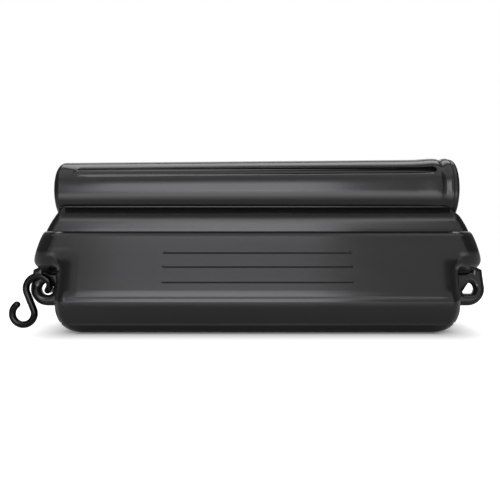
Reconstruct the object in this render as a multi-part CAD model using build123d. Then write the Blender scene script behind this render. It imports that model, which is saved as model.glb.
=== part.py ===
from build123d import *
from math import asin, atan2, cos, degrees, radians, sin, sqrt, tan
import os

# Weighted float, in millimetres. +Z is up and -Y is the front.
# The origin is on the resting plane, under the middle of the body.

# Moulded shell
wall = 3.0

# Tube along the top: slightly conical, with a level underside
tube_left_setback = 17.2
tube_mouth_setback = 25.1
tube_underside_z = 100.4
tube_left_radius = 27.9
tube_right_radius = 29.5
tube_end_round = 6.0
swell_length = 20.0
swell_height = 0.9
groove_from_mouth = 4.0
groove_width = 5.0
bead_round = 2.0
swell_flat = 4.0
groove_depth = 1.3
mouth_edge_round = 0.8

# Long recess in the upper front of the tube
recess_angle = 35.0
recess_width = 7.5
recess_depth = 1.8
recess_left_margin = 17.5
recess_right_margin = 14.6
recess_lower_lean = 55.0

# Hollowed neck between the body and the tube, with a thin lip above it
neck_half_depth = 22.0
neck_foot_z = 93.0
neck_cove_height = 19.5
neck_cove_reach = 3.8
neck_cove_turn = 78.0
inner_neck_turn = 54.0
neck_corner_round = 9.0
lip_top_z = 113.4
lip_thickness = 1.5
lip_half_depth = 26.6
lip_left_margin = 5.0
lip_right_margin = 4.6
lip_end_round = 6.0
lip_edge_round = 0.7

# Body, front and back
shoulder_round = 4.5
shoulder_depth = 37.3
shoulder_z = 86.9
face_lean = 15.0
face_foot_z = 38.0
bilge_height = 28.0
base_half_depth = 34.5
foot_drop = 1.0
foot_draw = 2.2
base_groove_z = 8.1
base_groove_width = 1.8
base_groove_depth = 0.9

# Body, ends
end_half_length = 203.7
end_round_radius = 77.0
end_round_start_z = 58.0
body_corner_round = 20.0

# Pockets at the lower corners
end_wall_setback = 22.7
end_wall_foot_height = 23.0
end_wall_foot_reach = 15.0
pocket_corner_round = 20.0
pocket_corner_reach = 3.0
pocket_ceiling_mid_z = 51.5
pocket_ceiling_front_z = 62.5
pocket_ceiling_flat = 8.0
pocket_inner_round = 5.0
pocket_edge_round = 8.0
pocket_wall = 5.0

# Eyes in the pockets
eye_setback = 3.7
eye_z = 36.3
eye_outer_radius = 16.0
eye_hole_radius = 5.8
eye_thickness = 10.0
eye_edge_round = 4.6
eye_crown_reach = 13.5
eye_crown_rise = 18.2
eye_top_setback = 1.5
eye_top_rise = 23.7
eye_web_offset = 2.5
eye_web_angle = 56.5
eye_foot_offset = 4.4
eye_hole_corner = 1.2

# Three writing lines engraved in the front face
line_heights = (70.5, 58.2, 44.8)
line_top_length = 166.0
line_length_step = 2.0
line_width = 1.6
line_depth = 0.9
line_tick = 1.8

# Plug in the tube's mouth, and its gasket
gasket_thickness = 0.9
gasket_inset = 1.2
plug_flange_thickness = 4.5
plug_flange_inset = 0.9
plug_flange_clearance = 0.5
plug_flange_round = 3.0
plug_spigot_length = 14.0
plug_wall = 2.5
plug_clearance = 0.15
plug_dish_depth = 1.2
plug_dish_margin = 6.0

# Sand ballast in the bottom of the shell
ballast_top_z = 26.0
ballast_gap = 0.2

# S-hook through the left eye
wire_radius = 3.2
hook_gap = 0.7
hook_bow_radius = 10.35
hook_bow_offset = 20.1
hook_crown_radius = 11.7
hook_crown_offset = 5.8
hook_crown_rise = 0.9
hook_tip_angle = 126.0
hook_turn_angle = 44.0
hook_throat_offset = 0.25
hook_throat_drop = 1.5
hook_end_y = 8.2
hook_end_drop = 1.3
hook_end_slope = 0.42

# Values that follow from the sizes above
tube_left_x = tube_left_setback - end_half_length
tube_mouth_x = end_half_length - tube_mouth_setback
tube_left_axis_z = tube_underside_z + tube_left_radius
tube_right_axis_z = tube_underside_z + tube_right_radius
tube_length = tube_mouth_x - tube_left_x
shoulder_centre_depth = shoulder_depth - shoulder_round * cos(radians(face_lean))
shoulder_centre_z = shoulder_z - shoulder_round * sin(radians(face_lean))
shoulder_top_z = shoulder_centre_z + shoulder_round
face_slope = tan(radians(face_lean))
face_turn_radius = (face_foot_z - bilge_height) / sin(radians(face_lean))
face_foot_depth = shoulder_depth + (shoulder_z - face_foot_z) * face_slope
widest_depth = face_foot_depth + face_turn_radius * (1 - cos(radians(face_lean)))
end_wall_half_length = end_half_length - end_wall_setback
pocket_start_x = end_wall_half_length - 2 * pocket_corner_round
bead_radius = tube_right_radius + swell_height
bore_radius = tube_right_radius - wall
plug_spigot_radius = bore_radius - (tube_right_radius - tube_left_radius) * plug_spigot_length / tube_length
plug_spigot_radius -= plug_clearance
plug_room = gasket_thickness + plug_flange_thickness + end_half_length - tube_mouth_x
eye_x = end_half_length - eye_setback
hook_bow_x = -eye_x - hook_bow_offset
hook_crown_x = -eye_x - hook_crown_offset
hook_crown_z = eye_z + hook_crown_rise
hook_throat_z = eye_z - hook_throat_drop
hook_end_z = eye_z - hook_end_drop
hook_y = -(eye_thickness / 2 + hook_gap + wire_radius)


def quarter(z, foot_z, top_z, foot_size, top_size):
    # Size at a height on a quarter ellipse that rises from the foot size to the full size
    drop = max(0.0, 1 - (z - foot_z) / (top_z - foot_z))
    return foot_size + (top_size - foot_size) * sqrt(1 - drop**2)


def face_depth(z, inset=0.0):
    # Half depth of the leaning front face at a height
    return shoulder_depth + (shoulder_z - z) * face_slope - inset / cos(radians(face_lean))


def face_foot(inset=0.0):
    # Height where the straight face meets the arc below it
    return face_foot_z - inset * sin(radians(face_lean))


def lower_depth(z, inset=0.0):
    # Half depth below the foot of the face: an arc, then the bilge's quarter ellipse
    if z < bilge_height:
        return quarter(z, inset, bilge_height, base_half_depth, widest_depth - inset)
    rise = z - bilge_height
    return widest_depth - face_turn_radius + sqrt((face_turn_radius - inset) ** 2 - rise**2)


def end_length(z, inset=0.0):
    # Half length of the upper body: straight, then rounded over towards the tube
    rise = max(0.0, z - end_round_start_z)
    return end_half_length - end_round_radius + sqrt((end_round_radius - inset) ** 2 - rise**2)


def wall_length(z, inset=0.0):
    # Half length of the lower body between the pockets
    foot_length = end_wall_half_length - end_wall_foot_reach
    return quarter(z, inset, end_wall_foot_height, foot_length, end_wall_half_length - inset)


def slice_at(z, half_length, half_depth, corner):
    return Pos(0, 0, z) * RectangleRounded(2 * half_length, 2 * half_depth, corner)


def even_steps(low, high, count):
    return [low + (high - low) * step / count for step in range(count + 1)]


def shoulder_block():
    # Round between the flat top of the body and the front face
    slices = []
    for turn in even_steps(90.0, face_lean, 5):
        z = shoulder_centre_z + shoulder_round * sin(radians(turn))
        depth = shoulder_centre_depth + shoulder_round * cos(radians(turn))
        slices.append(slice_at(z, end_length(z), depth, body_corner_round))
    return loft(slices)


def face_block(top_z, inset=0.0):
    # Leaning front and back faces
    slices = []
    for z in even_steps(top_z, face_foot(inset), 6):
        slices.append(slice_at(z, end_length(z, inset), face_depth(z, inset), body_corner_round - inset))
    return loft(slices)


def bilge_block(inset=0.0):
    # Turn of the face, and the rounded bottom edge down to the flat base
    length = end_half_length - inset
    corner = body_corner_round - inset
    turn_slices = []
    for z in even_steps(face_foot(inset), bilge_height, 3):
        turn_slices.append(slice_at(z, length, lower_depth(z, inset), corner))
    foot_slices = [slice_at(inset - foot_drop, length, base_half_depth - foot_draw, corner)]
    for angle in even_steps(12.0, 90.0, 6):
        z = bilge_height - (bilge_height - inset) * cos(radians(angle))
        foot_slices.append(slice_at(z, length, lower_depth(z, inset), corner))
    return loft(turn_slices) + loft(foot_slices)


def below(z):
    # Everything under a height, to level a lofted block's floor
    return Pos(0, 0, z - face_foot_z) * Box(3 * end_half_length, 4 * widest_depth, 2 * face_foot_z)


def outer_body():
    body = shoulder_block() + face_block(shoulder_z) + bilge_block()
    return body - below(0.0)


def lower_plan_block(margin, top_z, inset=0.0):
    # Rounded lower body between the pockets, deeper than the body by the margin
    corner = pocket_corner_round - inset
    foot_slices = [
        slice_at(
            inset - foot_drop,
            end_wall_half_length - end_wall_foot_reach - foot_draw,
            base_half_depth + margin - foot_draw,
            corner,
        )
    ]
    for angle in even_steps(12.0, 90.0, 6):
        z = end_wall_foot_height - (end_wall_foot_height - inset) * cos(radians(angle))
        depth = lower_depth(z, inset) + margin
        foot_slices.append(slice_at(z, wall_length(z, inset), depth, corner))
    wall_slices = []
    for z in (end_wall_foot_height, bilge_height, face_foot(inset)):
        wall_slices.append(
            slice_at(z, end_wall_half_length - inset, lower_depth(z, inset) + margin, corner)
        )
    upper_slices = []
    for z in (face_foot(inset), top_z):
        upper_slices.append(
            slice_at(z, end_wall_half_length - inset, face_depth(z, inset) + margin, corner)
        )
    return loft(foot_slices) + loft(wall_slices) + loft(upper_slices)


def pocket_space(inset=0.0):
    # Space under the right end of the upper body, with a ceiling that dips to the middle
    far = widest_depth + 20.0
    rise = (pocket_ceiling_front_z - pocket_ceiling_mid_z) / (widest_depth - pocket_ceiling_flat)
    mid_z = pocket_ceiling_mid_z + inset
    far_z = mid_z + rise * (far - pocket_ceiling_flat)
    ceiling = Plane.YZ.offset(pocket_start_x) * Polygon(
        (-far, -foot_drop / 2),
        (far, -foot_drop / 2),
        (far, far_z),
        (pocket_ceiling_flat, mid_z),
        (-pocket_ceiling_flat, mid_z),
        (-far, far_z),
        align=None,
    )
    space = extrude(ceiling, end_half_length + 20.0 - pocket_start_x)
    return space - lower_plan_block(pocket_corner_reach, shoulder_z, inset)


def pocket_cutter():
    space = pocket_space()
    inner_edges = [
        edge
        for edge in space.edges()
        if edge.center().Z > pocket_ceiling_mid_z - 1.0
        and edge.bounding_box().min.X > pocket_start_x + 1.0
        and edge.bounding_box().max.X < end_wall_half_length + 1.0
    ]
    return fillet(inner_edges, pocket_inner_round)


def tube_axis_plane():
    # X along the tube's axis from its closed end, Y to the front, Z across
    direction = Vector(tube_length, 0, tube_right_axis_z - tube_left_axis_z)
    return Plane(origin=(tube_left_x, 0, tube_left_axis_z), x_dir=direction, z_dir=(0, -1, 0))


def tube_radius(along):
    share = along / tube_length
    return tube_left_radius + (tube_right_radius - tube_left_radius) * share


def tube_outline():
    # Half section of the closed tube, from its rounded left end to the bead at the mouth
    groove_end = tube_length - groove_from_mouth
    groove_start = groove_end - groove_width
    swell_top = groove_start - swell_flat
    swell_foot = swell_top - swell_length
    with BuildLine() as line:
        Line((0, 0), (0, tube_left_radius - tube_end_round))
        TangentArc(
            (0, tube_left_radius - tube_end_round),
            (tube_end_round, tube_radius(tube_end_round)),
            tangent=(0, 1),
        )
        Line((tube_end_round, tube_radius(tube_end_round)), (swell_foot, tube_radius(swell_foot)))
        Spline(
            (swell_foot, tube_radius(swell_foot)),
            (swell_top, bead_radius),
            tangents=((1, 0), (1, 0)),
        )
        Spline(
            (swell_top, bead_radius),
            ((groove_start + groove_end) / 2, bead_radius - groove_depth),
            (groove_end + bead_round, bead_radius),
            tangents=((1, 0), (1, 0)),
        )
        Line((groove_end + bead_round, bead_radius), (tube_length - mouth_edge_round, bead_radius))
        TangentArc(
            (tube_length - mouth_edge_round, bead_radius),
            (tube_length, bead_radius - mouth_edge_round),
            tangent=(1, 0),
        )
        Line((tube_length, bead_radius - mouth_edge_round), (tube_length, 0))
        Line((tube_length, 0), (0, 0))
    return make_face(line.line)


def tube():
    plane = tube_axis_plane()
    return revolve(plane * tube_outline(), axis=Axis(plane.origin, plane.x_dir))


def tube_bore():
    # Space inside the tube, closed at the left and open at the mouth
    plane = tube_axis_plane()
    outline = plane * Polygon(
        (wall, 0),
        (wall, tube_left_radius - tube_end_round),
        (tube_end_round, tube_radius(tube_end_round) - wall),
        (tube_length, tube_radius(tube_length) - wall),
        (tube_length + wall, tube_radius(tube_length) - wall),
        (tube_length + wall, 0),
        align=None,
    )
    return revolve(outline, axis=Axis(plane.origin, plane.x_dir))


def along_tube(start, length, radius):
    # Cylinder on the tube's axis, measured from the closed end
    plane = tube_axis_plane()
    start_plane = Plane(origin=plane.from_local_coords((start, 0, 0)), z_dir=plane.x_dir)
    return extrude(start_plane * Circle(radius), length)


def neck_block(turn_limit, inset=0.0):
    # Neck with upright sides that hollow outwards to the lip, up to an angle of the hollow
    half_depth = neck_half_depth - inset
    corner = neck_corner_round - inset
    low_z = shoulder_top_z - wall - shoulder_round
    slices = [slice_at(low_z, end_length(low_z, inset), half_depth, corner)]
    for turn in even_steps(0.0, turn_limit, 5):
        z = neck_foot_z + neck_cove_height * sin(radians(turn))
        depth = half_depth + neck_cove_reach * (1 - cos(radians(turn)))
        slices.append(slice_at(z, end_length(z, inset), depth, corner))
    straight = loft(slices[:2])
    return straight + loft(slices[1:])


def lip():
    # Thin lip along both sides of the tube
    left_x = tube_left_x + lip_left_margin
    right_x = tube_mouth_x - lip_right_margin
    outline = RectangleRounded(right_x - left_x, 2 * lip_half_depth, lip_end_round)
    slab = extrude(Pos((left_x + right_x) / 2, 0, lip_top_z - lip_thickness) * outline, lip_thickness)
    rims = slab.faces().sort_by(Axis.Z)[-1].edges() + slab.faces().sort_by(Axis.Z)[0].edges()
    return fillet(rims, lip_edge_round)


def cavity():
    # Space inside the body, one wall inside its skin, joined with the tube's bore
    body = face_block(shoulder_top_z - wall, wall) + bilge_block(wall)
    space = pocket_space(pocket_wall)
    body -= space
    body -= mirror(space, Plane.YZ)
    body -= below(wall)
    body += neck_block(inner_neck_turn, wall)
    seat_start = tube_length - wall
    body -= along_tube(seat_start, wall + plug_room, bead_radius + plug_flange_clearance + wall)
    return body + tube_bore()


def ballast_block():
    gap = wall + ballast_gap
    space = pocket_space(pocket_wall + ballast_gap)
    body = bilge_block(gap) - space
    body -= mirror(space, Plane.YZ)
    return body - below(gap)


def recess_cutter():
    # Round-ended recess with a square upper side and a gently sloping lower side
    left_x = tube_left_x + recess_left_margin
    right_x = tube_mouth_x - recess_right_margin
    middle_x = (left_x + right_x) / 2
    length = right_x - left_x
    along = middle_x - tube_left_x
    slope = (tube_right_axis_z - tube_left_axis_z) / tube_length
    outward = Vector(0, -cos(radians(recess_angle)), sin(radians(recess_angle)))
    axis_z = tube_left_axis_z + slope * along
    floor = Vector(middle_x, 0, axis_z) + outward * (tube_radius(along) - recess_depth)
    plane = Plane(origin=floor, x_dir=(1, 0, slope), z_dir=outward)
    reach = recess_width
    foot = recess_depth * tan(radians(recess_lower_lean)) - recess_width / 2
    slope_top = foot - reach * tan(radians(recess_lower_lean))
    section = Plane(origin=plane.from_local_coords((-length, 0, 0)), x_dir=plane.y_dir, z_dir=plane.x_dir)
    outline = section * Polygon((foot, 0), (reach, 0), (reach, reach), (slope_top, reach), align=None)
    return extrude(plane * SlotOverall(length, recess_width), reach) & extrude(outline, 2 * length)


def base_groove_cutter():
    # Shallow groove round the foot of the body
    z = base_groove_z
    core_face = slice_at(
        z - base_groove_width / 2,
        end_half_length,
        lower_depth(z) - base_groove_depth,
        body_corner_round,
    )
    plan_face = slice_at(
        z - base_groove_width / 2,
        wall_length(z) - base_groove_depth,
        lower_depth(z) + pocket_corner_reach - base_groove_depth,
        pocket_corner_round - base_groove_depth,
    )
    core = extrude(core_face, base_groove_width) & extrude(plan_face, base_groove_width)
    slab = Pos(0, 0, z) * Box(2 * end_half_length, 4 * base_half_depth, base_groove_width)
    return slab - core


def writing_line_cutter():
    # Three engraved lines on the leaning front face, each with a short tick at its ends
    cutters = []
    for index, z in enumerate(line_heights):
        length = line_top_length + index * line_length_step
        plane = Plane(
            origin=(0, -face_depth(z), z),
            x_dir=(1, 0, 0),
            z_dir=(0, -cos(radians(face_lean)), sin(radians(face_lean))),
        )
        line = SlotOverall(length, line_width)
        for end in (-1, 1):
            tick = Pos(end * (length - line_width) / 2, line_tick / 2) * Rectangle(line_width, line_tick)
            line += tick
        cutters.append(extrude(plane * line, 2 * line_depth, both=True) & extrude(
            plane * Rectangle(2 * length, 10 * line_width), line_depth, both=True
        ))
    return cutters


def mouth_edges(body, outer, cutter):
    # Edges where the pocket opens in the outer skin, from the base to the ceiling and round the end
    outer_skin = outer.shells()[0]
    cutter_skin = cutter.shells()[0]
    found = []
    for edge in body.edges():
        points = (edge.position_at(0.2), edge.position_at(0.5))
        if edge.bounding_box().max.Z < wall:
            continue
        if edge.center().X < pocket_start_x + 5.0:
            continue
        if all(
            outer_skin.distance_to(point) < 0.01 and cutter_skin.distance_to(point) < 0.01
            for point in points
        ):
            found.append(edge)
    return found


def body_with_pockets():
    outer = outer_body()
    cutter = pocket_cutter()
    body = outer - cutter
    body = fillet(mouth_edges(body, outer, cutter), pocket_edge_round)
    half = body & Pos(end_half_length, 0, 0) * Box(2 * end_half_length, 300, 400)
    return half + mirror(half, Plane.YZ)


def eye_plate():
    # Thick rounded plate in the right pocket, without its hole
    ceiling = pocket_ceiling_mid_z + wall / 2
    root = end_wall_half_length - wall / 2
    outline = Pos(eye_x, eye_z) * Circle(eye_outer_radius)
    outline += Polygon(
        (root, eye_z - eye_outer_radius),
        (eye_x, eye_z - eye_outer_radius),
        (eye_x + eye_outer_radius, eye_z),
        (eye_x + eye_crown_reach, eye_z + eye_crown_rise),
        (end_half_length - eye_top_setback, eye_z + eye_top_rise),
        (end_half_length - eye_top_setback, ceiling),
        (root, ceiling),
        align=None,
    )
    plate = extrude(Plane.XZ * outline, eye_thickness / 2, both=True)
    rims = [
        edge
        for edge in plate.edges()
        if abs(abs(edge.center().Y) - eye_thickness / 2) < 0.01
    ]
    return fillet(rims, eye_edge_round)


def cut_eye_hole(plate, hole):
    pierced = plate - extrude(Plane.XZ * hole, eye_thickness, both=True)
    reach = eye_hole_radius + 0.5
    rims = [
        edge
        for edge in pierced.edges()
        if abs(abs(edge.center().Y) - eye_thickness / 2) < 0.01
        and abs(edge.center().X - eye_x) < reach
        and abs(edge.center().Z - eye_z) < reach
    ]
    return fillet(rims, eye_edge_round)


def right_eye():
    # Its hole has a straight web across the upper inner corner and a flat foot
    hole = Circle(eye_hole_radius)
    web = Rot(0, 0, eye_web_angle) * Pos(0, eye_web_offset + eye_outer_radius) * Rectangle(
        4 * eye_outer_radius, 2 * eye_outer_radius
    )
    foot = Pos(0, -eye_foot_offset - eye_outer_radius) * Rectangle(
        4 * eye_outer_radius, 2 * eye_outer_radius
    )
    hole = hole - web - foot
    hole = fillet(hole.vertices(), eye_hole_corner)
    return cut_eye_hole(eye_plate(), Pos(eye_x, eye_z) * hole)


def left_eye():
    plate = cut_eye_hole(eye_plate(), Pos(eye_x, eye_z) * Circle(eye_hole_radius))
    return mirror(plate, Plane.YZ)


def float_shell():
    shell = body_with_pockets() + neck_block(neck_cove_turn)
    shell -= along_tube(
        tube_length - mouth_edge_round,
        mouth_edge_round + plug_room,
        bead_radius + plug_flange_clearance,
    )
    shell += tube()
    shell += lip()
    shell += right_eye()
    shell += left_eye()
    shell -= cavity()
    shell -= recess_cutter()
    shell -= base_groove_cutter()
    for cutter in writing_line_cutter():
        shell -= cutter
    return shell


def sand_ballast():
    # Loose sand that lies level in the bottom of the shell
    block = ballast_block()
    return block & Pos(0, 0, ballast_top_z / 2) * Box(2 * end_half_length, 4 * widest_depth, ballast_top_z)


def plug_gasket():
    inner = along_tube(tube_length, gasket_thickness, plug_spigot_radius)
    return along_tube(tube_length, gasket_thickness, bead_radius - gasket_inset) - inner


def end_plug():
    # Flange outside the mouth, with a shallow dish in its face, and a hollow spigot in the bore
    flange_start = tube_length + gasket_thickness
    flange_end = flange_start + plug_flange_thickness
    radius = bead_radius - plug_flange_inset
    dish_radius = radius - plug_dish_margin
    hollow_radius = plug_spigot_radius - plug_wall
    spigot_start = tube_length - plug_spigot_length
    with BuildLine() as line:
        Polyline(
            (flange_start + plug_wall, 0),
            (flange_start + plug_wall, hollow_radius),
            (spigot_start, hollow_radius),
            (spigot_start, plug_spigot_radius),
            (flange_start, plug_spigot_radius),
            (flange_start, radius),
            (flange_end - plug_flange_round, radius),
        )
        TangentArc(
            (flange_end - plug_flange_round, radius),
            (flange_end, radius - plug_flange_round),
            tangent=(1, 0),
        )
        Polyline(
            (flange_end, radius - plug_flange_round),
            (flange_end, dish_radius),
            (flange_end - plug_dish_depth, dish_radius - plug_dish_depth),
            (flange_end - plug_dish_depth, 0),
            (flange_start + plug_wall, 0),
        )
    plane = tube_axis_plane()
    return revolve(plane * make_face(line.line), axis=Axis(plane.origin, plane.x_dir))


def s_hook():
    plane = Plane(origin=(0, hook_y, 0), x_dir=(1, 0, 0), z_dir=(0, -1, 0))
    bow_z = wire_radius + hook_bow_radius
    across = hook_crown_x - hook_bow_x
    rise = hook_crown_z - bow_z
    spread = sqrt(across**2 + rise**2)
    shank_angle = degrees(atan2(rise, across) + asin((hook_bow_radius + hook_crown_radius) / spread))
    lower_end = shank_angle - 90.0
    upper_start = shank_angle + 90.0
    with BuildLine(plane) as outline:
        bow = CenterArc((hook_bow_x, bow_z), hook_bow_radius, hook_tip_angle, 360 + lower_end - hook_tip_angle)
        crown = CenterArc(
            (hook_crown_x, hook_crown_z),
            hook_crown_radius,
            upper_start,
            hook_turn_angle - upper_start,
        )
        Line(bow @ 1, crown @ 0)
    turn = radians(hook_turn_angle)
    turn_point = Vector(
        hook_crown_x + hook_crown_radius * cos(turn),
        hook_y,
        hook_crown_z + hook_crown_radius * sin(turn),
    )
    dive = Spline(
        turn_point,
        (-eye_x - hook_throat_offset, 0, hook_throat_z),
        (-eye_x - hook_throat_offset, hook_end_y, hook_end_z),
        tangents=((sin(turn), 0, -cos(turn)), (0, 1, -hook_end_slope)),
    )
    path = Wire(outline.edges() + [dive.edge()])
    start = Plane(origin=path @ 0, z_dir=path % 0)
    wire = sweep(start * Circle(wire_radius), path)
    wire += Pos(path @ 0) * Sphere(wire_radius)
    wire += Pos(path @ 1) * Sphere(wire_radius)
    return wire


if __name__ == "__main__":
    os.makedirs("parts", exist_ok=True)
    export_step(float_shell(), "parts/float_shell.step")
    export_step(end_plug(), "parts/end_plug.step")
    export_step(plug_gasket(), "parts/plug_gasket.step")
    export_step(sand_ballast(), "parts/sand_ballast.step")
    export_step(s_hook(), "parts/s_hook.step")
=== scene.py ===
import math

import bmesh
import bpy
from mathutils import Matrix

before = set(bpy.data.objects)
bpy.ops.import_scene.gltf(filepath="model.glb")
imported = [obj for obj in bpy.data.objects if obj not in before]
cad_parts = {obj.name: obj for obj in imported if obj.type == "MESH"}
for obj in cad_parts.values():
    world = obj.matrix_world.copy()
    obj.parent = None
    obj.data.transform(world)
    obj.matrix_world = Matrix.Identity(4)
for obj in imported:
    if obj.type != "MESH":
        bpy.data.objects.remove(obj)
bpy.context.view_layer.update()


view = {
    "height": 0.0733,
    "distance": 0.573,
    "pitch": 90.0,  # degrees, where 90 looks level
    "lens": 43.2,
    "sensor": 36.0,
    "shift": -0.015,
    "clipStart": 0.01,
    "clipEnd": 20.0,
}


def makeCamera():
    cam = bpy.data.cameras.new("camera")
    cam.lens = view["lens"]
    cam.sensor_width = view["sensor"]
    cam.shift_x = view["shift"]
    cam.clip_start = view["clipStart"]
    cam.clip_end = view["clipEnd"]
    obj = bpy.data.objects.new("camera", cam)
    obj.location = (0.0, -view["distance"], view["height"])
    obj.rotation_euler = (math.radians(view["pitch"]), 0.0, 0.0)
    bpy.context.collection.objects.link(obj)
    bpy.context.scene.camera = obj


makeCamera()
print("camera set")


def freshMaterial(name):
    mat = bpy.data.materials.new(name)
    mat.use_nodes = True
    tree = mat.node_tree
    tree.nodes.clear()
    out = tree.nodes.new("ShaderNodeOutputMaterial")
    shader = tree.nodes.new("ShaderNodeBsdfPrincipled")
    tree.links.new(shader.outputs["BSDF"], out.inputs["Surface"])
    return mat, tree, shader


def objectPoint(tree):
    return tree.nodes.new("ShaderNodeTexCoord").outputs["Object"]


def axesOf(tree, point):
    node = tree.nodes.new("ShaderNodeSeparateXYZ")
    tree.links.new(point, node.inputs["Vector"])
    return node.outputs


def noise(tree, point, scale, detail, roughness, stretch=None):
    if stretch is not None:
        mapping = tree.nodes.new("ShaderNodeMapping")
        mapping.inputs["Scale"].default_value = stretch
        tree.links.new(point, mapping.inputs["Vector"])
        point = mapping.outputs["Vector"]
    node = tree.nodes.new("ShaderNodeTexNoise")
    node.inputs["Scale"].default_value = scale
    node.inputs["Detail"].default_value = detail
    node.inputs["Roughness"].default_value = roughness
    tree.links.new(point, node.inputs["Vector"])
    return node.outputs["Fac"]


def remap(tree, value, low, high, outLow, outHigh):
    node = tree.nodes.new("ShaderNodeMapRange")
    node.inputs["From Min"].default_value = low
    node.inputs["From Max"].default_value = high
    node.inputs["To Min"].default_value = outLow
    node.inputs["To Max"].default_value = outHigh
    tree.links.new(value, node.inputs["Value"])
    return node.outputs["Result"]


def smoothRemap(tree, value, low, high, outLow, outHigh):
    result = remap(tree, value, low, high, outLow, outHigh)
    result.node.interpolation_type = "SMOOTHSTEP"
    return result


def mathNode(tree, operation, first, second=None):
    node = tree.nodes.new("ShaderNodeMath")
    node.operation = operation
    for place, value in enumerate((first, second)):
        if value is None:
            continue
        if isinstance(value, float):
            node.inputs[place].default_value = value
        else:
            tree.links.new(value, node.inputs[place])
    return node.outputs["Value"]


def distanceFrom(tree, value, middle):
    return mathNode(tree, "ABSOLUTE", mathNode(tree, "SUBTRACT", value, middle))


def product(tree, first, *others):
    for other in others:
        first = mathNode(tree, "MULTIPLY", first, other)
    return first


def mixColours(tree, fac, first, second):
    node = tree.nodes.new("ShaderNodeMix")
    node.data_type = "RGBA"
    node.inputs["A"].default_value = (*first, 1.0)
    node.inputs["B"].default_value = (*second, 1.0)
    tree.links.new(fac, node.inputs["Factor"])
    return node.outputs["Result"]


def bumpChain(tree, shader, layers):
    # each layer is a height from 0 to 1, its strength and its depth in metres
    normal = None
    for height, strength, depth in layers:
        node = tree.nodes.new("ShaderNodeBump")
        node.inputs["Strength"].default_value = strength
        node.inputs["Distance"].default_value = depth
        tree.links.new(height, node.inputs["Height"])
        if normal is not None:
            tree.links.new(normal, node.inputs["Normal"])
        normal = node.outputs["Normal"]
    tree.links.new(normal, shader.inputs["Normal"])


# the part of a noise's range that most of its values lie in
noiseBand = (0.3, 0.7)

# places are in metres in the object's own frame, and each bump is a strength and a depth
shellLook = {
    "dark": (0.0055, 0.0055, 0.006),
    "light": (0.0095, 0.0095, 0.01),
    "clouds": {"scale": 14.0, "detail": 4.0, "roughness": 0.55},
    "roughLow": 0.16,
    "roughHigh": 0.22,
    "smudges": {"scale": 45.0, "detail": 5.0, "roughness": 0.6, "stretch": (0.35, 1.0, 1.0)},
    "specular": 0.5,
    "ior": 1.5,
    "waves": {"scale": 22.0, "detail": 1.0, "roughness": 0.4, "stretch": (0.5, 1.0, 1.0)},
    "wavesBump": (0.35, 0.00035),
    "grain": {"scale": 900.0, "detail": 2.0, "roughness": 0.5},
    "grainBump": (0.25, 0.00003),
    "face": {"foot": 0.036, "top": 0.0865, "power": 1.5, "bump": (1.0, 0.003)},
    "neck": {"foot": 0.0995, "top": 0.1118, "power": 2.0, "bump": (1.0, 0.0034)},
    "fold": {"foot": 0.0858, "top": 0.0893, "bump": (1.0, 0.0013)},
    "dips": {
        "start": 0.157,
        "end": 0.188,
        "foot": 0.028,
        "top": 0.076,
        "edge": 0.014,
        "bump": (1.0, 0.0046),
    },
    "recess": {
        "level": 0.1425,
        "rise": 0.0088,
        "sideHalfHeight": 0.0011,
        "height": 0.0058,
        "topFade": 0.0014,
        "left": -0.168,
        "right": 0.163,
        "endFade": 0.003,
        "front": -0.005,
        "bump": (1.0, 0.0016),
    },
    "crease": {
        "level": 0.0306,
        "halfHeight": 0.0026,
        "halfLength": 0.174,
        "endFade": 0.008,
        "bump": (1.0, 0.00024),
    },
    "seam": {"halfWidth": 0.00035, "bump": (0.6, 0.00022)},
    "lines": {
        "levels": (0.0705, 0.0582, 0.0448),
        "halfLength": 0.084,
        "halfHeight": 0.0009,
        "solidShare": 0.7,
        "front": -0.03,
        "rough": 0.85,
    },
}


def faceLayer(tree, axes):
    # the face leans out a little more towards its foot
    look = shellLook["face"]
    bulge = remap(tree, axes["Z"], look["foot"], look["top"], 1.0, 0.0)
    return (mathNode(tree, "POWER", bulge, look["power"]), *look["bump"])


def neckLayer(tree, axes):
    # the neck flares out more sharply just under the lip
    look = shellLook["neck"]
    flare = remap(tree, axes["Z"], look["foot"], look["top"], 0.0, 1.0)
    return (mathNode(tree, "POWER", flare, look["power"]), *look["bump"])


def foldLayer(tree, axes):
    # the face turns in where it meets the shoulder
    look = shellLook["fold"]
    return (remap(tree, axes["Z"], look["foot"], look["top"], 1.0, 0.0), *look["bump"])


def dipLayer(tree, axes):
    # the face sinks softly towards the mouth of each pocket
    look = shellLook["dips"]
    aside = mathNode(tree, "ABSOLUTE", axes["X"])
    outward = smoothRemap(tree, aside, look["start"], look["end"], 0.0, 1.0)
    below = smoothRemap(tree, axes["Z"], look["top"] - look["edge"], look["top"], 1.0, 0.0)
    above = smoothRemap(tree, axes["Z"], look["foot"], look["foot"] + look["edge"], 0.0, 1.0)
    sunk = product(tree, outward, below, above)
    return (mathNode(tree, "SUBTRACT", 1.0, sunk), *look["bump"])


def recessLayer(tree, axes):
    # the tube's long recess runs on below its cut part, to a lower side that faces up
    look = shellLook["recess"]
    lowerSide = mathNode(tree, "ADD", product(tree, axes["X"], look["rise"]), look["level"])
    above = mathNode(tree, "SUBTRACT", axes["Z"], lowerSide)
    sunk = product(
        tree,
        remap(tree, above, -look["sideHalfHeight"], look["sideHalfHeight"], 0.0, 1.0),
        remap(tree, above, look["height"] - look["topFade"], look["height"], 1.0, 0.0),
        remap(tree, axes["X"], look["left"], look["left"] + look["endFade"], 0.0, 1.0),
        remap(tree, axes["X"], look["right"], look["right"] - look["endFade"], 0.0, 1.0),
        mathNode(tree, "LESS_THAN", axes["Y"], look["front"]),
    )
    return (mathNode(tree, "SUBTRACT", 1.0, sunk), *look["bump"])


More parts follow.
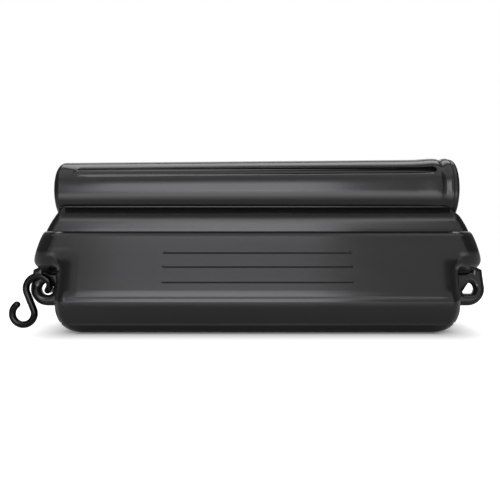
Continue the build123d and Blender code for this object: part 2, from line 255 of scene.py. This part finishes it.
def creaseLayer(tree, axes):
    # a very shallow crease runs along the body where the face turns under
    look = shellLook["crease"]
    away = distanceFrom(tree, axes["Z"], look["level"])
    dent = smoothRemap(tree, away, 0.0, look["halfHeight"], 1.0, 0.0)
    aside = mathNode(tree, "ABSOLUTE", axes["X"])
    fadeFrom = look["halfLength"] - look["endFade"]
    within = smoothRemap(tree, aside, fadeFrom, look["halfLength"], 1.0, 0.0)
    return (mathNode(tree, "SUBTRACT", 1.0, product(tree, dent, within)), *look["bump"])


def seamLayer(tree, axes):
    # the mould's parting line is a fine ridge in the middle plane
    look = shellLook["seam"]
    away = mathNode(tree, "ABSOLUTE", axes["Y"])
    return (remap(tree, away, 0.0, look["halfWidth"], 1.0, 0.0), *look["bump"])


def lineShare(tree, axes):
    # 1 inside the front's three writing lines, which are duller than the face
    look = shellLook["lines"]
    nearest = None
    for level in look["levels"]:
        away = distanceFrom(tree, axes["Z"], level)
        nearest = away if nearest is None else mathNode(tree, "MINIMUM", nearest, away)
    solidHalfHeight = look["halfHeight"] * look["solidShare"]
    return product(
        tree,
        mathNode(tree, "LESS_THAN", axes["Y"], look["front"]),
        mathNode(tree, "LESS_THAN", mathNode(tree, "ABSOLUTE", axes["X"]), look["halfLength"]),
        remap(tree, nearest, solidHalfHeight, look["halfHeight"], 1.0, 0.0),
    )


def shellMaterial():
    look = shellLook
    mat, tree, shader = freshMaterial("shellPlastic")
    point = objectPoint(tree)
    axes = axesOf(tree, point)
    clouds = noise(tree, point, **look["clouds"])
    tree.links.new(mixColours(tree, clouds, look["dark"], look["light"]), shader.inputs["Base Color"])
    smudges = noise(tree, point, **look["smudges"])
    rough = remap(tree, smudges, *noiseBand, look["roughLow"], look["roughHigh"])
    dull = product(tree, lineShare(tree, axes), look["lines"]["rough"])
    tree.links.new(mathNode(tree, "MAXIMUM", rough, dull), shader.inputs["Roughness"])
    shader.inputs["Specular IOR Level"].default_value = look["specular"]
    shader.inputs["IOR"].default_value = look["ior"]
    bumpChain(
        tree,
        shader,
        [
            (noise(tree, point, **look["waves"]), *look["wavesBump"]),
            faceLayer(tree, axes),
            neckLayer(tree, axes),
            recessLayer(tree, axes),
            dipLayer(tree, axes),
            foldLayer(tree, axes),
            creaseLayer(tree, axes),
            seamLayer(tree, axes),
            (noise(tree, point, **look["grain"]), *look["grainBump"]),
        ],
    )
    return mat


plugLook = {
    "dark": (0.005, 0.005, 0.0055),
    "light": (0.0085, 0.0085, 0.009),
    "clouds": {"scale": 30.0, "detail": 3.0, "roughness": 0.5},
    "roughLow": 0.2,
    "roughHigh": 0.28,
    "grain": {"scale": 1100.0, "detail": 2.0, "roughness": 0.5},
    "grainBump": (0.2, 0.00002),
}


def plugMaterial():
    look = plugLook
    mat, tree, shader = freshMaterial("plugPlastic")
    point = objectPoint(tree)
    clouds = noise(tree, point, **look["clouds"])
    tree.links.new(mixColours(tree, clouds, look["dark"], look["light"]), shader.inputs["Base Color"])
    rough = remap(tree, clouds, *noiseBand, look["roughLow"], look["roughHigh"])
    tree.links.new(rough, shader.inputs["Roughness"])
    bumpChain(tree, shader, [(noise(tree, point, **look["grain"]), *look["grainBump"])])
    return mat


gasketLook = {
    "dark": (0.006, 0.006, 0.006),
    "light": (0.012, 0.012, 0.012),
    "dust": {"scale": 400.0, "detail": 3.0, "roughness": 0.6},
    "dustBump": (0.3, 0.00004),
    "rough": 0.75,
}


def gasketMaterial():
    look = gasketLook
    mat, tree, shader = freshMaterial("gasketRubber")
    dust = noise(tree, objectPoint(tree), **look["dust"])
    tree.links.new(mixColours(tree, dust, look["dark"], look["light"]), shader.inputs["Base Color"])
    shader.inputs["Roughness"].default_value = look["rough"]
    bumpChain(tree, shader, [(dust, *look["dustBump"])])
    return mat


hookLook = {
    "dark": (0.0012, 0.0012, 0.0013),
    "light": (0.0025, 0.0025, 0.0027),
    "clouds": {"scale": 120.0, "detail": 4.0, "roughness": 0.55},
    "roughLow": 0.09,
    "roughHigh": 0.16,
    "specular": 0.28,
    "orangePeel": {"scale": 520.0, "detail": 1.0, "roughness": 0.4},
    "orangePeelBump": (0.3, 0.00004),
}


def hookMaterial():
    look = hookLook
    mat, tree, shader = freshMaterial("hookCoating")
    point = objectPoint(tree)
    clouds = noise(tree, point, **look["clouds"])
    tree.links.new(mixColours(tree, clouds, look["dark"], look["light"]), shader.inputs["Base Color"])
    rough = remap(tree, clouds, *noiseBand, look["roughLow"], look["roughHigh"])
    tree.links.new(rough, shader.inputs["Roughness"])
    shader.inputs["Specular IOR Level"].default_value = look["specular"]
    bumpChain(tree, shader, [(noise(tree, point, **look["orangePeel"]), *look["orangePeelBump"])])
    return mat


sandLook = {
    "dark": (0.36, 0.29, 0.19),
    "light": (0.66, 0.57, 0.42),
    "grains": {"scale": 1600.0, "detail": 2.0, "roughness": 0.7},
    "grainsBump": (0.8, 0.0003),
    "rough": 0.95,
}


def sandMaterial():
    look = sandLook
    mat, tree, shader = freshMaterial("drySand")
    grains = noise(tree, objectPoint(tree), **look["grains"])
    tree.links.new(mixColours(tree, grains, look["dark"], look["light"]), shader.inputs["Base Color"])
    shader.inputs["Roughness"].default_value = look["rough"]
    bumpChain(tree, shader, [(grains, *look["grainsBump"])])
    return mat


finishes = {
    "float_shell": shellMaterial(),
    "end_plug": plugMaterial(),
    "plug_gasket": gasketMaterial(),
    "s_hook": hookMaterial(),
    "sand_ballast": sandMaterial(),
}


def dress(node, mat):
    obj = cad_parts[node]
    if not obj.material_slots:
        obj.data.materials.append(mat)
    for place in obj.material_slots:
        place.material = mat


for nodeName, finish in finishes.items():
    dress(nodeName, finish)
print("materials on", len(finishes), "nodes")


# halfLength and halfDepth are the patch that the object's base covers
floorLook = {
    "size": 12.0,
    "halfLength": 0.156,
    "halfDepth": 0.046,
    "paintedShade": (0.42, 0.42, 0.42),
    "colour": (0.66, 0.66, 0.66),
    "paintedShadeWidth": 0.007,
    "glow": 0.95,
    "glowFade": 0.066,
    "poolStart": 0.18,
    "poolEnd": 0.38,
    "poolCore": 0.3,
    "poolHalfWidth": 0.55,
    "poolGlow": 2.2,
}


def awayFromFoot(tree, axes):
    # distance on the floor from the patch under the object's base
    sides = []
    for axis, half in (("X", floorLook["halfLength"]), ("Y", floorLook["halfDepth"])):
        out = mathNode(tree, "SUBTRACT", mathNode(tree, "ABSOLUTE", axes[axis]), half)
        sides.append(mathNode(tree, "POWER", mathNode(tree, "MAXIMUM", out, 0.0), 2.0))
    return mathNode(tree, "SQRT", mathNode(tree, "ADD", sides[0], sides[1]))


def lightPool(tree, axes):
    # painted pool of light: a patch of floor in front of the object glows for glossy rays only, so it
    # shows as a painted reflection in the object's gloss
    look = floorLook
    ahead = remap(tree, axes["Y"], -look["poolStart"], -look["poolEnd"], 0.0, look["poolGlow"])
    aside = mathNode(tree, "ABSOLUTE", axes["X"])
    return product(tree, ahead, remap(tree, aside, look["poolCore"], look["poolHalfWidth"], 1.0, 0.0))


def floorMaterial():
    # the camera sees a white glow, which fades near the object's foot; there the floor shows its real
    # shadow, darkened further by the missing glow and a darker matt colour, both painted shadow
    look = floorLook
    mat = bpy.data.materials.new("paleFloor")
    mat.use_nodes = True
    tree = mat.node_tree
    tree.nodes.clear()
    out = tree.nodes.new("ShaderNodeOutputMaterial")
    matt = tree.nodes.new("ShaderNodeBsdfDiffuse")
    glow = tree.nodes.new("ShaderNodeEmission")
    both = tree.nodes.new("ShaderNodeAddShader")
    rays = tree.nodes.new("ShaderNodeLightPath").outputs
    axes = axesOf(tree, objectPoint(tree))
    away = awayFromFoot(tree, axes)
    # painted shadow: the floor's matt colour is darker within a few millimetres of the patch under
    # the object's base
    clearOfPaintedShade = remap(tree, away, 0.0, look["paintedShadeWidth"], 0.0, 1.0)
    tree.links.new(mixColours(tree, clearOfPaintedShade, look["paintedShade"], look["colour"]), matt.inputs["Color"])
    seen = mathNode(tree, "MAXIMUM", rays["Is Camera Ray"], rays["Is Transmission Ray"])
    plain = product(tree, seen, remap(tree, away, 0.0, look["glowFade"], 0.0, look["glow"]))
    # painted reflection: the pool glows only where the object's gloss mirrors the floor
    mirrored = product(tree, rays["Is Glossy Ray"], lightPool(tree, axes))
    tree.links.new(mathNode(tree, "ADD", plain, mirrored), glow.inputs["Strength"])
    tree.links.new(matt.outputs["BSDF"], both.inputs[0])
    tree.links.new(glow.outputs["Emission"], both.inputs[1])
    tree.links.new(both.outputs["Shader"], out.inputs["Surface"])
    return mat


def makeFloor():
    mesh = bpy.data.meshes.new("floor")
    bm = bmesh.new()
    bmesh.ops.create_grid(bm, x_segments=1, y_segments=1, size=floorLook["size"] / 2)
    bm.to_mesh(mesh)
    bm.free()
    obj = bpy.data.objects.new("floor", mesh)
    bpy.context.collection.objects.link(obj)
    mesh.materials.append(floorMaterial())


makeFloor()


# strengths, where 1 is white: as seen, as mirrored in gloss, and as light on matt surfaces
worldLook = {"seen": 1.0, "mirrored": 0.12, "fill": 0.28}


def makeWorld():
    look = worldLook
    world = bpy.data.worlds.new("world")
    bpy.context.scene.world = world
    world.use_nodes = True
    tree = world.node_tree
    tree.nodes.clear()
    out = tree.nodes.new("ShaderNodeOutputWorld")
    plain = tree.nodes.new("ShaderNodeBackground")
    plain.inputs["Color"].default_value = (1.0, 1.0, 1.0, 1.0)
    rays = tree.nodes.new("ShaderNodeLightPath").outputs
    strengths = {
        "Is Camera Ray": look["seen"],
        "Is Transmission Ray": look["seen"],
        "Is Glossy Ray": look["mirrored"],
    }
    level = look["fill"]
    for ray, strength in strengths.items():
        level = mathNode(tree, "ADD", product(tree, rays[ray], strength - look["fill"]), level)
    tree.links.new(level, plain.inputs["Strength"])
    tree.links.new(plain.outputs["Background"], out.inputs["Surface"])


makeWorld()


white = (1.0, 1.0, 1.0)
coolWhite = (0.975, 0.98, 1.025)

# wide and deep are a lamp's sides in metres, and bright is its own brightness, where 1 is white
lamps = {
    "front": {
        "at": (-0.13, -1.15, 0.375),
        "aim": (-0.13, 0.0, 0.375),
        "wide": 0.72,
        "deep": 0.65,
        "bright": 3.5,
        "tint": coolWhite,
        "glossOnly": False,
    },
    "frontTop": {
        "at": (-0.13, -1.15, 0.79),
        "aim": (-0.13, 0.0, 0.79),
        "wide": 0.72,
        "deep": 0.18,
        "bright": 1.5,
        "tint": coolWhite,
        "glossOnly": False,
    },
    "frontWide": {
        "at": (0.0, -1.20, 0.68),
        "aim": (0.0, 0.0, 0.68),
        "wide": 2.4,
        "deep": 1.34,
        "bright": 0.6,
        "tint": white,
        "glossOnly": False,
    },
    "ceiling": {
        "at": (0.0, -0.42, 1.10),
        "aim": (0.0, -0.42, 0.0),
        "wide": 1.8,
        "deep": 1.0,
        "bright": 0.9,
        "tint": white,
        "glossOnly": False,
    },
    "overhead": {
        "at": (0.0, 0.51, 1.05),
        "aim": (0.0, 0.51, 0.0),
        "wide": 1.3,
        "deep": 0.44,
        "bright": 2.7,
        "tint": white,
        "glossOnly": True,
    },
    "behind": {
        "at": (0.0, 1.3, 0.72),
        "aim": (0.0, 0.0, 0.1),
        "wide": 1.9,
        "deep": 0.8,
        "bright": 0.9,
        "tint": white,
        "glossOnly": False,
    },
}


def turnTowards(at, aim):
    # turns a lamp at one point so that it shines at the other
    back = [a - b for a, b in zip(at, aim)]
    flat = math.hypot(back[0], back[1])
    return (math.atan2(flat, back[2]), 0.0, math.atan2(back[0], -back[1]))


def makeLamp(name, facts):
    light = bpy.data.lights.new(name, "AREA")
    light.shape = "RECTANGLE"
    light.size = facts["wide"]
    light.size_y = facts["deep"]
    light.color = facts["tint"]
    light.energy = facts["bright"] * math.pi * facts["wide"] * facts["deep"]
    obj = bpy.data.objects.new(name, light)
    obj.location = facts["at"]
    obj.rotation_euler = turnTowards(facts["at"], facts["aim"])
    obj.visible_camera = False
    obj.visible_diffuse = not facts["glossOnly"]
    bpy.context.collection.objects.link(obj)


for lampName, lampFacts in lamps.items():
    makeLamp(lampName, lampFacts)
print("floor, world and lamps set")

bpy.context.scene.view_settings.view_transform = "Standard"
